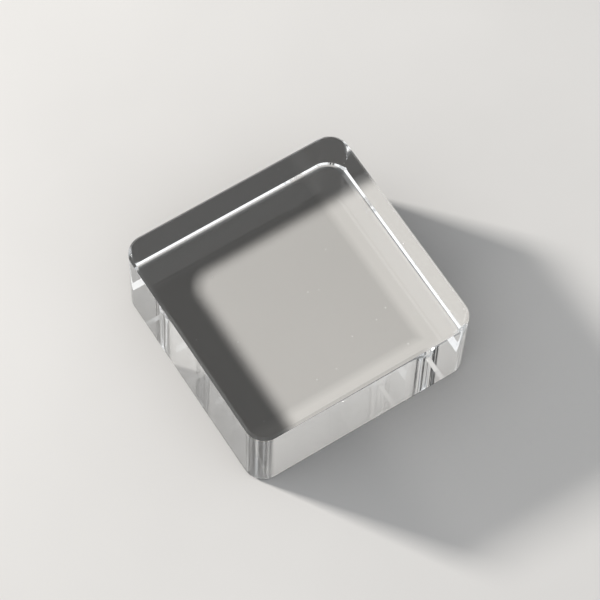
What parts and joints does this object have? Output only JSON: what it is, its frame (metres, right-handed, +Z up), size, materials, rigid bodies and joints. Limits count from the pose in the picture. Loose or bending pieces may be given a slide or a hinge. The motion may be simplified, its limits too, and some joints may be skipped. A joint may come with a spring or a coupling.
{
  "type": "acrylic display block",
  "caption": "Low square block of clear solid acrylic with rounded upright corners and bevelled, polished edges, for raising and displaying a small object.",
  "frame": {"origin": "centre of the flat underside that the block rests on", "axes": "+Z up, through the sheet's thickness, towards the display face; +X and +Y along two adjacent sides of the square"},
  "size_m": [0.05, 0.05, 0.02],
  "materials": {
    "clear_acrylic": "water-clear cast acrylic, all faces and bevels polished, with fine handling scratches and a little dust"
  },
  "bodies": {
    "root": {"acrylic_block": "clear_acrylic"}
  },
  "joints": []
}
